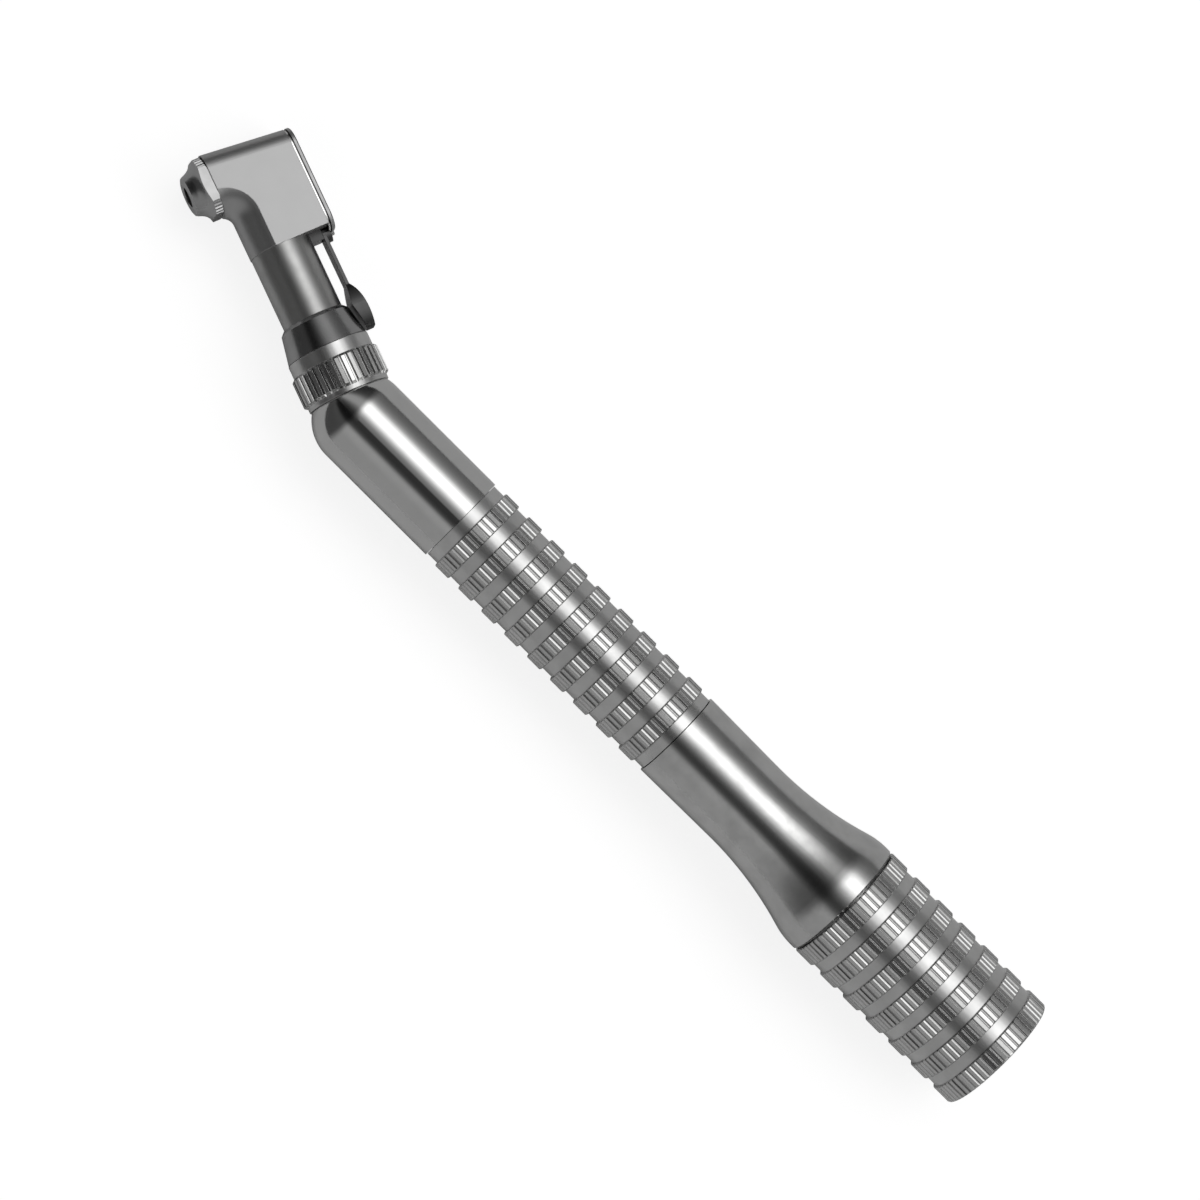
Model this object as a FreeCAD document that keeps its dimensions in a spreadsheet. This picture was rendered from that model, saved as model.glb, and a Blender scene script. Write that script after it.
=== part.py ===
import FreeCAD, Part

import math
import os

import Sketcher

# Geared contra-angle surgical handpiece: a turned handle, a bent shank, and a
# slim neck whose latch head holds the bur at right angles to the neck.
#
# Row frame, in millimetres: X runs along the handle axis from the rear
# coupling face (origin) to the head, Z is up, and the handpiece lies on its
# side as it does on a table. The neck frame starts at the elbow with x along
# the neck and y along the bur, nose side positive. The head frame is the neck
# frame moved on to the bur axis.

doc = FreeCAD.newDocument("contra_angle_handpiece")
sheet = doc.addObject("Spreadsheet::Sheet", "Sizes")

DRIVING_SIZES = (
    ("seat_clearance", 0.02),
    ("running_clearance", 0.04),
    ("end_gap", 0.06),
    ("knurl_pitch", 4.5),
    ("rear_length", 30.5),
    ("rear_groove_wall", 0.6),
    ("rear_band_height", 0.4),
    ("rear_groove_flat", 1.5),
    ("rear_groove_flank", 0.25),
    ("rear_least_band", 0.5),
    ("rear_last_band", 3.1),
    ("joint_bevel", 0.3),
    ("rear_edge_round", 0.3),
    ("coupling_radius", 8.0),
    ("coupling_depth", 20.0),
    ("snap_groove_width", 1.2),
    ("snap_groove_depth", 0.55),
    ("snap_wire_width", 0.9),
    ("snap_land", 3.0),
    ("snap_ring_gap_angle", 35.0),
    ("shoulder_length", 1.7),
    ("shoulder_height", 1.0),
    ("sleeve_spigot_radius", 8.4),
    ("waist_length", 33.0),
    ("waist_rear_radius", 9.51),
    ("waist_middle_radius", 6.83),
    ("waist_front_radius", 6.97),
    ("waist_bore_radius", 5.2),
    ("waist_front_ledge", 0.8),
    ("flare_start", 1.0),
    ("flare_length", 18.2),
    ("flare_shoulder_radius", 11.0),
    ("waist_spigot_length", 5.0),
    ("grip_length", 42.35),
    ("grip_band_radius", 7.03),
    ("grip_groove_radius", 6.57),
    ("grip_band_length", 2.7),
    ("grip_rear_collar", 1.75),
    ("grip_bore_radius", 5.6),
    ("shank_radius", 6.85),
    ("shank_length", 19.55),
    ("shank_spigot_length", 10.0),
    ("shank_bore_radius", 4.3),
    ("elbow_face", 3.67),
    ("neck_bend_angle", 20.4),
    ("side_roll_angle", 14.2),
    ("lock_ring_radius", 6.45),
    ("lock_ring_lip_radius", 6.0),
    ("lock_ring_knurl_start", 4.4),
    ("lock_ring_knurl_end", 8.9),
    ("lock_ring_chamfer", 0.35),
    ("lock_ring_end", 10.9),
    ("lock_ring_flutes", 40),
    ("lock_ring_flute_depth", 0.3),
    ("cut_overshoot", 0.1),
    ("collar_front_radius", 5.1),
    ("collar_end", 15.05),
    ("collar_bevel", 0.55),
    ("stub_radius", 4.35),
    ("stub_start", 2.7),
    ("neck_radius", 4.4),
    ("neck_end", 26.5),
    ("neck_bore_radius", 3.45),
    ("bur_axis", 38.1),
    ("head_back", 6.94),
    ("head_front_back", 3.2),
    ("head_front_nose", 4.4),
    ("head_half_width", 4.35),
    ("head_corner_round", 2.4),
    ("head_tube_radius", 4.5),
    ("head_bend_radius", 6.0),
    ("head_nose_face", 5.3),
    ("head_bore_radius", 3.6),
    ("guide_thickness", 0.36),
    ("cover_thickness", 0.55),
    ("cover_edge_bevel", 0.15),
    ("guide_inset", 0.15),
    ("guide_wall_gap", 0.2),
    ("plate_rear", 12.5),
    ("cap_radius", 4.9),
    ("cap_ring_length", 1.7),
    ("cap_flat_distance", 4.15),
    ("cap_face", 8.7),
    ("cap_face_radius", 3.0),
    ("cap_hole_radius", 1.45),
    ("cap_spigot_length", 1.8),
    ("cap_tooth_depth", 0.35),
    ("cap_teeth", 5),
    ("cap_tooth_pitch", 6.2),
    ("cap_tooth_half_width", 0.24),
    ("cap_ring_back_bevel", 0.45),
    ("cap_ring_front_bevel", 0.2),
    ("cap_ring_back_land", 0.5),
    ("cap_hollow", 0.3),
    ("cap_wall", 0.6),
    ("cap_spindle_gap", 0.15),
    ("spindle_radius", 1.75),
    ("spindle_mouth", 7.4),
    ("spindle_top", 5.8),
    ("spindle_bush_length", 1.7),
    ("head_web", 1.0),
    ("bur_hole_radius", 1.18),
    ("bur_tail_hole_radius", 1.5),
    ("latch_pivot", 25.85),
    ("latch_pin_radius", 0.6),
    ("latch_eye_radius", 1.35),
    ("latch_arm_shortfall", 1.3),
    ("latch_arm_width", 1.6),
    ("latch_arm_thickness", 0.28),
    ("pivot_block_length", 1.5),
    ("pivot_block_width", 3.0),
    ("latch_relief", 0.3),
    ("pin_slot", 0.3),
    ("pin_foot_gap", 0.1),
    ("lever_bar_top", 6.5),
    ("lever_bar_bottom", 6.0),
    ("lever_half_width", 1.3),
    ("lever_pad_start", 18.0),
    ("lever_pad_end", 11.1),
    ("lever_pad_top", 7.5),
    ("lever_pad_half_width", 2.3),
    ("lever_pad_lip", 0.25),
    ("lever_lift", 0.3),
    ("lever_swing_angle", 15.0),
    ("gear_module", 0.25),
    ("gear_face", 3.0),
    ("gear_room", 7.85),
    ("gear_backlash", 0.05),
    ("gear_pressure_angle", 25.0),
    ("gear_dedendum_factor", 1.25),
    ("bevel_flank_angle", 25.0),
    ("tooth_root_sink", 0.12),
    ("sun_teeth", 12),
    ("planet_teeth", 12),
    ("planets", 3),
    ("planet_pin_radius", 0.6),
    ("carrier_radius", 4.1),
    ("carrier_thickness", 1.4),
    ("planet_end_gap", 0.2),
    ("ring_gear_margin", 0.5),
    ("drive_shaft_radius", 1.3),
    ("input_shaft_radius", 1.7),
    ("dog_room", 0.6),
    ("dog_length", 4.0),
    ("dog_radius", 2.6),
    ("dog_slot", 1.8),
    ("dog_slot_floor", 1.2),
    ("dog_shaft_overlap", 2.0),
    ("sun_neck_length", 1.5),
    ("sun_neck_overlap", 0.5),
    ("bearing_width", 3.0),
    ("bearing_wall", 0.7),
    ("bearing_inner_wall", 0.8),
    ("bearing_shield", 0.25),
    ("rear_bearing_room", 3.5),
    ("front_bearing_room", 6.0),
    ("crown_teeth", 10),
    ("crown_cone_length", 3.8),
    ("crown_face", 1.6),
    ("crown_addendum", 0.42),
    ("crown_back", 2.1),
    ("bevel_teeth", 14),
    ("bevel_cone_length", 4.24),
    ("bevel_face", 1.3),
    ("bevel_addendum", 0.34),
    ("bevel_back", 4.0),
    ("bush_length", 2.6),
    ("bush_seat_margin", 0.5),
    ("front_bush_setback", 5.0),
    ("neck_shaft_radius", 1.1),
)
for row, (alias, number) in enumerate(DRIVING_SIZES, start=1):
    sheet.set(f"A{row}", alias)
    sheet.set(f"B{row}", str(number))
    sheet.setAlias(f"B{row}", alias)
doc.recompute()


def worked(expression):
    """Value of a sheet expression, as the number the sketches will get."""
    result = sheet.evalExpression(expression)
    return float(getattr(result, "Value", result))


def size(alias):
    return float(sheet.get(alias))


ROW = FreeCAD.Placement()
X_AXIS = FreeCAD.Vector(1, 0, 0)
Y_AXIS = FreeCAD.Vector(0, 1, 0)
Z_AXIS = FreeCAD.Vector(0, 0, 1)
NEAR_ENOUGH = 0.01


def row_point(x, y=0.0, z=0.0):
    return FreeCAD.Vector(x, y, z)


# Stations along the handle
SNAP_GROOVE_END = "(Sizes.coupling_depth + Sizes.snap_groove_width)"
SLEEVE_SHOULDER = f"({SNAP_GROOVE_END} + Sizes.snap_land)"
SPIGOT_START = f"({SLEEVE_SHOULDER} + Sizes.shoulder_length)"
GRIP_START = "(Sizes.rear_length + Sizes.waist_length)"
SHANK_START = f"({GRIP_START} + Sizes.grip_length)"
SHANK_SPIGOT_START = f"({SHANK_START} - Sizes.shank_spigot_length)"
GEAR_START = f"({SHANK_SPIGOT_START} - Sizes.gear_room)"
ELBOW = f"({SHANK_START} + Sizes.shank_length)"

# The neck frame: bent at the elbow, then rolled with the whole head on to its side
NECK = FreeCAD.Placement(row_point(worked(ELBOW)), FreeCAD.Rotation())
NECK = NECK.multiply(FreeCAD.Placement(row_point(0), FreeCAD.Rotation(X_AXIS, size("side_roll_angle"))))
NECK = NECK.multiply(FreeCAD.Placement(row_point(0), FreeCAD.Rotation(Z_AXIS, -size("neck_bend_angle"))))
HEAD = NECK.multiply(FreeCAD.Placement(row_point(size("bur_axis")), FreeCAD.Rotation()))

sub_parts = []


def add_sub_part(obj, label, placement=ROW):
    obj.Label = label
    obj.Placement = placement
    sub_parts.append(obj)
    return obj


def origin_plane(body, role):
    return next(item for item in body.Origin.OriginFeatures if item.Role == role)


def bound_sketch(body, name, points, role="XY_Plane"):
    """Closed polygon sketch whose corners are bound to sheet expressions."""
    sketch = body.newObject("Sketcher::SketchObject", name)
    sketch.AttachmentSupport = [(origin_plane(body, role), "")]
    sketch.MapMode = "FlatFace"
    corners = [FreeCAD.Vector(worked(u), worked(v), 0) for u, v in points]
    for start, end in zip(corners, corners[1:] + corners[:1]):
        sketch.addGeometry(Part.LineSegment(start, end), False)
    count = len(corners)
    for index in range(count):
        sketch.addConstraint(Sketcher.Constraint("Coincident", index, 2, (index + 1) % count, 1))
    for index, (corner, pair) in enumerate(zip(corners, points)):
        for kind, number, expression in zip(("DistanceX", "DistanceY"), corner, pair):
            added = sketch.addConstraint(Sketcher.Constraint(kind, -1, 1, index, 1, number))
            sketch.renameConstraint(added, f"{kind}{index}")
            if "Sizes" in expression:
                sketch.setExpression(f"Constraints.{kind}{index}", expression)
    return sketch


def new_body(label):
    return doc.addObject("PartDesign::Body", label)


def revolve(body, name, points, axis="H_Axis", role="XY_Plane"):
    sketch = bound_sketch(body, name + "_profile", points, role)
    feature = body.newObject("PartDesign::Revolution", name)
    feature.Profile = sketch
    feature.ReferenceAxis = (sketch, [axis])
    feature.Angle = 360
    return feature


def turned(label, points, placement=ROW, axis="H_Axis"):
    """Piece turned from one profile, given as (along, radius) expressions."""
    body = new_body(label)
    revolve(body, label + "_turning", points, axis)
    return add_sub_part(body, label, placement)


def tube_profile(start, end, outer, inner):
    return [(start, inner), (start, outer), (end, outer), (end, inner)]


def pocket_through(body, name, points, role, length, count, axis="N_Axis"):
    """Cut one outline both ways through the body and repeat it round the axis."""
    doc.recompute()
    before = body.Shape.Volume
    sketch = bound_sketch(body, name + "_profile", points, role)
    cut = body.newObject("PartDesign::Pocket", name)
    cut.Profile = sketch
    cut.Midplane = True
    cut.Length = length
    doc.recompute()
    pattern = body.newObject("PartDesign::PolarPattern", name + "_pattern")
    pattern.Originals = [cut]
    pattern.Axis = (sketch, [axis])
    pattern.Angle = 360
    pattern.Occurrences = count
    body.Tip = pattern
    doc.recompute()
    if not body.Shape.Volume < before:
        raise ValueError(f"{name} cuts nothing")
    return pattern


def solid_node(label, shape, placement=ROW):
    """Sub-part whose form is worked out in code from the sheet's sizes."""
    feature = doc.addObject("Part::Feature", label)
    feature.Shape = shape
    return add_sub_part(feature, label, placement.multiply(shape.Placement))


def cylinder(radius, length, base, direction=X_AXIS):
    return Part.makeCylinder(radius, length, base, direction)


# Rear sleeve: raised bands outside, motor bore and snap groove inside
def build_rear_sleeve():
    inside = "Sizes.sleeve_spigot_radius + Sizes.seat_clearance"
    groove = "(Sizes.coupling_radius + Sizes.snap_groove_depth + Sizes.rear_groove_wall)"
    band = f"({groove} + Sizes.rear_band_height)"
    flank = "Sizes.rear_groove_flank"
    points = [("0", "Sizes.coupling_radius"), ("0", f"{band} - Sizes.rear_edge_round")]
    points.append(("Sizes.rear_edge_round", band))
    least = size("rear_edge_round") + size("rear_groove_flat") + 2 * size("rear_groove_flank")
    least += size("rear_least_band")
    grooves = int((size("rear_length") - size("rear_last_band") - least) / size("knurl_pitch")) + 1
    for index in reversed(range(grooves)):
        end = f"Sizes.rear_length - Sizes.rear_last_band - {index} * Sizes.knurl_pitch"
        points.append((f"{end} - Sizes.rear_groove_flat - 2 * {flank}", band))
        points.append((f"{end} - Sizes.rear_groove_flat - {flank}", groove))
        points.append((f"{end} - {flank}", groove))
        points.append((end, band))
    points.append(("Sizes.rear_length - Sizes.joint_bevel", band))
    points.append(("Sizes.rear_length", f"{band} - Sizes.joint_bevel"))
    points.append(("Sizes.rear_length", inside))
    points.append((SPIGOT_START, inside))
    points.append((SPIGOT_START, "Sizes.coupling_radius - Sizes.shoulder_height"))
    points.append((SLEEVE_SHOULDER, "Sizes.coupling_radius - Sizes.shoulder_height"))
    points.append((SLEEVE_SHOULDER, "Sizes.coupling_radius"))
    points.append((SNAP_GROOVE_END, "Sizes.coupling_radius"))
    points.append((SNAP_GROOVE_END, "Sizes.coupling_radius + Sizes.snap_groove_depth"))
    points.append(("Sizes.coupling_depth", "Sizes.coupling_radius + Sizes.snap_groove_depth"))
    points.append(("Sizes.coupling_depth", "Sizes.coupling_radius"))
    turned("rear_sleeve", points)


def build_snap_ring():
    """Split ring in the snap groove, which clicks on to the motor's nose."""
    body = new_body("motor_snap_ring")
    middle = "(Sizes.coupling_depth + 0.5 * Sizes.snap_groove_width)"
    outer = "Sizes.coupling_radius + Sizes.snap_groove_depth - Sizes.seat_clearance"
    start = f"{middle} - 0.5 * Sizes.snap_wire_width"
    end = f"{middle} + 0.5 * Sizes.snap_wire_width"
    inner = f"{outer} - Sizes.snap_wire_width"
    ring = revolve(body, "motor_snap_ring_turning", tube_profile(start, end, outer, inner))
    ring.setExpression("Angle", "360 - Sizes.snap_ring_gap_angle")
    add_sub_part(body, "motor_snap_ring")


# Waist sleeve: flared at the rear, slim in the middle, with a spigot at each end
def build_waist_sleeve():
    start = size("rear_length")
    end = worked(GRIP_START)
    rear = size("waist_rear_radius")
    middle = size("waist_middle_radius")
    drop = rear - middle
    flare_start = start + size("flare_start")
    flare_end = flare_start + size("flare_length")
    turn = 2 * math.atan2(drop, size("flare_length"))
    shoulder = size("flare_shoulder_radius")
    hollow = size("flare_length") / math.sin(turn) - shoulder

    def shoulder_point(angle):
        return row_point(flare_start + shoulder * math.sin(angle), rear - shoulder * (1 - math.cos(angle)))

    def hollow_point(angle):
        return row_point(flare_end - hollow * math.sin(angle), middle + hollow * (1 - math.cos(angle)))

    shoulder_arc = Part.Arc(shoulder_point(0), shoulder_point(turn / 2), shoulder_point(turn))
    hollow_arc = Part.Arc(hollow_point(turn), hollow_point(turn / 2), hollow_point(0))
    bevel = size("joint_bevel")
    spigot = size("sleeve_spigot_radius")
    bore = size("waist_bore_radius")
    front_bore = bore - size("waist_front_ledge")
    front_spigot = size("grip_bore_radius") - size("seat_clearance")
    front_end = end + size("waist_spigot_length")
    step = end - size("waist_spigot_length")
    outline = [
        row_point(flare_end, middle),
        row_point(end, size("waist_front_radius")),
        row_point(end, front_spigot),
        row_point(front_end, front_spigot),
        row_point(front_end, front_bore),
        row_point(step, front_bore),
        row_point(step, bore),
        row_point(worked(SPIGOT_START), bore),
        row_point(worked(SPIGOT_START), spigot),
        row_point(start, spigot),
        row_point(start, rear - bevel),
        row_point(start + bevel, rear),
        row_point(flare_start, rear),
    ]
    edges = [shoulder_arc.toShape(), hollow_arc.toShape()]
    edges += [Part.LineSegment(a, b).toShape() for a, b in zip(outline, outline[1:])]
    face = Part.Face(Part.Wire(edges))
    solid_node("waist_sleeve", face.revolve(row_point(0), X_AXIS, 360))


# Front grip: raised bands on an even pitch between two plain collars
def build_front_grip():
    inner = "Sizes.grip_bore_radius"
    groove = "Sizes.grip_groove_radius"
    band = "Sizes.grip_band_radius"
    room = size("grip_length") - size("grip_rear_collar") - size("grip_band_length")
    points = [(GRIP_START, inner), (GRIP_START, groove)]
    for index in range(int(room / size("knurl_pitch")) + 1):
        front = f"{GRIP_START} + Sizes.grip_rear_collar + {index} * Sizes.knurl_pitch"
        points.append((front, groove))
        points.append((front, band))
        points.append((f"{front} + Sizes.grip_band_length", band))
        points.append((f"{front} + Sizes.grip_band_length", groove))
    points.append((SHANK_START, groove))
    points.append((SHANK_START, inner))
    turned("front_grip", points)


# Bent shank: plain tube, ball elbow and the mouth that takes the neck
def build_bent_shank():
    start = worked(SHANK_START)
    elbow = worked(ELBOW)
    radius = size("shank_radius")
    spigot_radius = size("grip_bore_radius") - size("seat_clearance")
    spigot_start = worked(SHANK_SPIGOT_START)
    outer = cylinder(radius, elbow - start, row_point(start))
    outer = outer.fuse(Part.makeSphere(radius, row_point(elbow)))
    keep = cylinder(2 * radius, 4 * radius, row_point(size("elbow_face") - 4 * radius))
    keep.Placement = NECK
    outer = outer.common(keep)
    outer = outer.fuse(cylinder(spigot_radius, start - spigot_start, row_point(spigot_start)))
    hollow = cylinder(size("shank_bore_radius"), elbow - spigot_start, row_point(spigot_start))
    mouth = cylinder(size("stub_radius") + size("seat_clearance"), 2 * radius, row_point(0))
    mouth.Placement = NECK
    solid_node("bent_shank", outer.cut([hollow, mouth]))


# Lock ring: knurled ring that turns on the neck stub
def build_lock_ring():
    start = "Sizes.elbow_face + Sizes.end_gap"
    end = "Sizes.lock_ring_end - Sizes.end_gap"
    lip = "Sizes.lock_ring_lip_radius"
    knurl = "Sizes.lock_ring_radius"
    bore = "Sizes.stub_radius + Sizes.running_clearance"
    chamfer = "Sizes.lock_ring_chamfer"
    points = [
        (start, bore),
        (start, lip),
        ("Sizes.lock_ring_knurl_start", lip),
        (f"Sizes.lock_ring_knurl_start + {chamfer}", knurl),
        (f"Sizes.lock_ring_knurl_end - {chamfer}", knurl),
        ("Sizes.lock_ring_knurl_end", lip),
        (end, lip),
        (end, bore),
    ]
    body = new_body("lock_ring")
    revolve(body, "lock_ring_turning", points)
    half = math.pi * size("lock_ring_radius") / (2 * size("lock_ring_flutes"))
    flute = [
        ("Sizes.lock_ring_radius - Sizes.lock_ring_flute_depth", "0"),
        ("Sizes.lock_ring_radius + Sizes.cut_overshoot", f"-{half}"),
        ("Sizes.lock_ring_radius + Sizes.cut_overshoot", f"{half}"),
    ]
    pocket_through(body, "lock_ring_flute", flute, "YZ_Plane", 2 * size("lock_ring_end"),
                   int(size("lock_ring_flutes")))
    add_sub_part(body, "lock_ring", NECK)


# Neck: conical collar, plain tube and its stub
def build_neck():
    bevel = "Sizes.collar_bevel"
    points = [
        ("Sizes.lock_ring_end", "Sizes.stub_radius + Sizes.seat_clearance"),
        ("Sizes.lock_ring_end", "Sizes.lock_ring_lip_radius - Sizes.end_gap"),
        ("Sizes.collar_end", "Sizes.collar_front_radius"),
        (f"Sizes.collar_end + {bevel}", f"Sizes.collar_front_radius - {bevel}"),
        (f"Sizes.collar_end + {bevel}", "Sizes.stub_radius + Sizes.seat_clearance"),
    ]
    turned("neck_collar", points, NECK)
    points = [
        ("Sizes.stub_start", "Sizes.neck_bore_radius"),
        ("Sizes.stub_start", "Sizes.stub_radius"),
        (f"Sizes.collar_end + {bevel}", "Sizes.stub_radius"),
        (f"Sizes.collar_end + {bevel}", "Sizes.neck_radius"),
        ("Sizes.neck_end", "Sizes.neck_radius"),
        ("Sizes.neck_end", "Sizes.neck_bore_radius"),
    ]
    turned("neck_tube", points, NECK)


# Head housing: flat-sided block over a tube elbow, bored for the gears
def build_head_housing():
    rear = size("bur_axis") - size("neck_end")
    back = size("head_back")
    half = size("head_half_width")
    nose = size("head_nose_face")
    tube = size("head_tube_radius")
    bend = size("head_bend_radius")
    front_back = size("head_front_back")
    front_nose = size("head_front_nose")
    lean = FreeCAD.Vector(front_nose - front_back, back + nose, 0)
    plan = Part.Face(plate_outline(0, rear + tube, front_back))
    upright = plan.extrude(lean)
    upright.translate(FreeCAD.Vector(0, -back, 0))
    corners = [
        row_point(-bend),
        row_point(-rear),
        row_point(-rear, -back),
        row_point(2 * front_nose, -back),
        row_point(2 * front_nose, bend),
        row_point(0, bend),
    ]
    edges = [Part.LineSegment(a, b).toShape() for a, b in zip(corners, corners[1:])]
    slant = bend * (1 - math.sqrt(0.5))
    edges.append(Part.Arc(corners[-1], row_point(-slant, slant), corners[0]).toShape())
    side = Part.Face(Part.Wire(edges))
    side.translate(FreeCAD.Vector(0, 0, -half))
    upper = upright.common(side.extrude(FreeCAD.Vector(0, 0, 2 * half)))
    straight = cylinder(tube, rear - bend, row_point(-rear))
    elbow = Part.makeTorus(bend, tube, row_point(-bend, bend), Z_AXIS)
    quarter = Part.makeBox(bend, bend, 2 * tube, row_point(-bend, 0, -tube))
    quarter = quarter.fuse(Part.makeBox(bend + tube, bend + tube, 2 * tube, row_point(-bend, -tube, -tube)))
    casting = straight.fuse([elbow.common(quarter), upper])
    limits = Part.makeBox(rear + 2 * front_nose, back + nose, 2 * half, row_point(-rear, -back, -half))
    casting = casting.common(limits)
    web = size("head_web")
    bore = cylinder(size("head_bore_radius"), back + nose - web, row_point(0, -back + web), Y_AXIS)
    bore = bore.fuse(cylinder(size("bur_tail_hole_radius"), back, row_point(0, -back), Y_AXIS))
    way_in = cylinder(size("neck_bore_radius"), rear + 1, row_point(-rear - 1))
    pivot = size("latch_pivot") - size("bur_axis")
    gap = size("latch_relief")
    depth = back - size("lever_bar_bottom") + gap
    relief = cylinder(size("latch_eye_radius") + gap, depth, row_point(pivot, -back), Y_AXIS)
    solid_node("head_housing", casting.cut([bore, way_in, relief]), HEAD)


def plate_outline(inset, rear_length, front_length):
    """Plan view of the head and its back plates: flat sides, rounded corners."""
    half = size("head_half_width") - inset
    front = front_length - inset
    rear = -rear_length + inset
    corner = size("head_corner_round")
    corners = (
        (front, half, corner),
        (rear, half, corner),
        (rear, -half, corner),
        (front, -half, corner),
    )
    edges = []
    previous_end = None
    first_start = None
    signs = ((1, 1), (-1, 1), (-1, -1), (1, -1))
    for (x, z, radius), (sx, sz) in zip(corners, signs):
        centre = FreeCAD.Vector(x - sx * radius, 0, z - sz * radius)
        along_x = centre + FreeCAD.Vector(sx * radius, 0, 0)
        along_z = centre + FreeCAD.Vector(0, 0, sz * radius)
        diagonal = FreeCAD.Vector(sx, 0, sz).normalize() * radius
        start, end = (along_x, along_z) if sx * sz > 0 else (along_z, along_x)
        arc = Part.Arc(start, centre + diagonal, end).toShape()
        if previous_end is not None:
            edges.append(Part.LineSegment(previous_end, start).toShape())
        else:
            first_start = start
        edges.append(arc)
        previous_end = end
    edges.append(Part.LineSegment(previous_end, first_start).toShape())
    return Part.Wire(edges)


def arm_length():
    return size("bur_axis") - size("latch_pivot") - size("latch_arm_shortfall")


def build_back_plates():
    """Guide plate with the arm's pocket, and the cover over it."""
    back = size("head_back")
    thickness = size("guide_thickness")
    pivot = size("latch_pivot") - size("bur_axis")
    eye = size("latch_eye_radius") + size("latch_relief")
    guide = Part.Face(plate_outline(size("guide_inset"), size("plate_rear"), size("head_front_back")))
    guide = guide.extrude(FreeCAD.Vector(0, -thickness, 0))
    reach = arm_length() + size("latch_relief")
    clear = size("latch_arm_width") / 2 + size("guide_wall_gap")
    swept = reach * math.sin(math.radians(size("lever_swing_angle"))) + clear
    pocket = [
        FreeCAD.Vector(pivot - eye, 0, -eye),
        FreeCAD.Vector(pivot, 0, -eye),
        FreeCAD.Vector(pivot + reach, 0, -swept),
        FreeCAD.Vector(pivot + reach, 0, clear),
        FreeCAD.Vector(pivot, 0, eye),
        FreeCAD.Vector(pivot - eye, 0, eye),
    ]
    pocket = Part.Face(Part.makePolygon(pocket + pocket[:1]))
    guide = guide.cut(pocket.extrude(FreeCAD.Vector(0, -thickness, 0)))
    guide.translate(FreeCAD.Vector(0, -back, 0))
    solid_node("latch_guide_plate", guide, HEAD)
    cover = Part.Face(plate_outline(0, size("plate_rear"), size("head_front_back")))
    cover = cover.extrude(FreeCAD.Vector(0, -size("cover_thickness"), 0))
    cover.translate(FreeCAD.Vector(0, -back - thickness, 0))
    top = -back - thickness - size("cover_thickness")
    rim = [edge for edge in cover.Edges if abs(edge.CenterOfMass.y - top) < NEAR_ENOUGH]
    cover = cover.makeChamfer(size("cover_edge_bevel"), rim)
    hole = cylinder(size("latch_pin_radius") + size("seat_clearance"), 2 * size("cover_thickness"),
                    row_point(pivot, top), Y_AXIS)
    solid_node("back_cover", cover.cut(hole), HEAD)


# Latch: pivot block and pin on the neck, lever and arm that swing about the pin
def build_latch():
    pivot = size("latch_pivot")
    pin = size("latch_pin_radius")
    eye = size("latch_eye_radius")
    back = size("head_back")
    relief = size("latch_relief")
    bar_top = size("lever_bar_top")
    bar_bottom = size("lever_bar_bottom")
    head_top = back + size("guide_thickness") + size("cover_thickness")
    pin_axis = cylinder(pin, head_top, row_point(pivot, -head_top), Y_AXIS)
    block_top = bar_bottom - size("running_clearance")
    block_length = size("pivot_block_length")
    block_width = size("pivot_block_width")
    block = Part.makeBox(block_length, block_top, block_width,
                         row_point(pivot - block_length / 2, -block_top, -block_width / 2))
    tube = cylinder(size("neck_radius"), pivot + block_length, row_point(0))
    casting = Part.makeBox(block_length, block_top, block_width,
                           row_point(size("neck_end"), -block_top, -block_width / 2))
    solid_node("latch_pivot_block", block.cut([tube, casting, pin_axis]), NECK)

    pin_bottom = size("neck_radius") + size("pin_foot_gap")
    screw = cylinder(pin, head_top - pin_bottom, row_point(pivot, -head_top), Y_AXIS)
    slot = size("pin_slot")
    slot = Part.makeBox(4 * pin, slot, slot, row_point(pivot - 2 * pin, -head_top, -slot / 2))
    solid_node("latch_pivot_pin", screw.cut(slot), NECK)

    arm_thickness = size("latch_arm_thickness")
    arm_top = back + size("running_clearance") + arm_thickness
    arm_width = size("latch_arm_width")
    half = size("lever_half_width")
    overlap = half
    eye_solid = cylinder(eye, arm_top - bar_bottom, row_point(pivot, -arm_top), Y_AXIS)
    arm = Part.makeBox(arm_length(), arm_thickness, arm_width, row_point(pivot, -arm_top, -arm_width / 2))
    bar_start = size("lever_pad_start") - overlap
    bar = Part.makeBox(pivot - bar_start, bar_top - bar_bottom, 2 * half,
                       row_point(bar_start, -bar_top, -half))
    lever = eye_solid.fuse([arm, bar, build_lever_pad()])
    hole = cylinder(pin + size("running_clearance"), 2 * arm_top, row_point(pivot, -2 * arm_top), Y_AXIS)
    solid_node("latch_lever", lever.cut(hole).removeSplitter(), NECK)


# The pad's bends as shares of its length from the tip, and of its rise or half width
PAD_LEVEL_SHARE = 0.4
PAD_KNEE = (0.72, 0.25)
PAD_WIDEST_SHARE = 0.55
PAD_TIP = (0.12, 0.62)


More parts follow.
